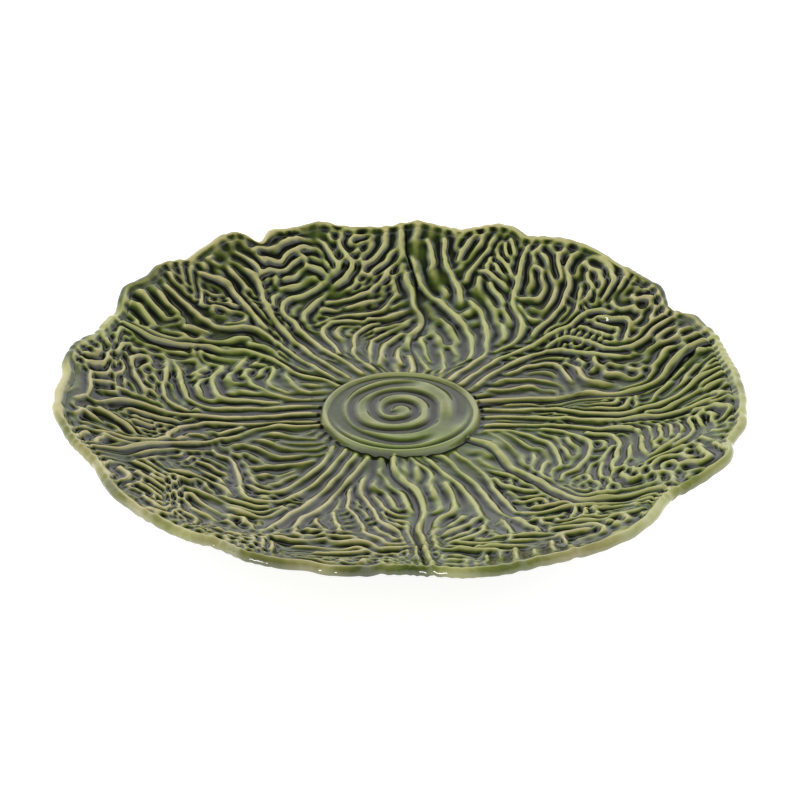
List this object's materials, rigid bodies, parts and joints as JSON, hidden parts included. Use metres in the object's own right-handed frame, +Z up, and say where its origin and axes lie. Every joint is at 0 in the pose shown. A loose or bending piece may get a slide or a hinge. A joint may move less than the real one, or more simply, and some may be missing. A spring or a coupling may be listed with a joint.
{
  "type": "leaf plate",
  "caption": "Round glazed earthenware plate shaped as overlapping cabbage leaves, with raised ribs, a scalloped rolled rim, a coiled stem disc and a foot ring.",
  "frame": {"origin": "centre of the plate's box, on the table under the foot ring", "axes": "+Z up out of the well; +X along the first leaf's axis, which is the right-hand side of the picture; -Y towards the picture's camera"},
  "size_m": [0.2781, 0.2832, 0.0319],
  "materials": {
    "leaf_glaze": "thick translucent leaf green glaze, high gloss, pale on the crests and dark in the hollows",
    "stem_glaze": "the same green glaze, thinner and paler on the coiled stem end",
    "bare_clay": "bare fired buff clay on the standing face, matt"
  },
  "bodies": {
    "root": {"dish": "leaf_glaze", "foot_ring": "bare_clay", "stem_disc": "stem_glaze", "stem_coil": "stem_glaze", "leaf_1_ribs": "leaf_glaze", "leaf_2_ribs": "leaf_glaze", "leaf_3_ribs": "leaf_glaze", "leaf_4_ribs": "leaf_glaze", "leaf_5_ribs": "leaf_glaze", "leaf_6_ribs": "leaf_glaze"}
  },
  "joints": []
}
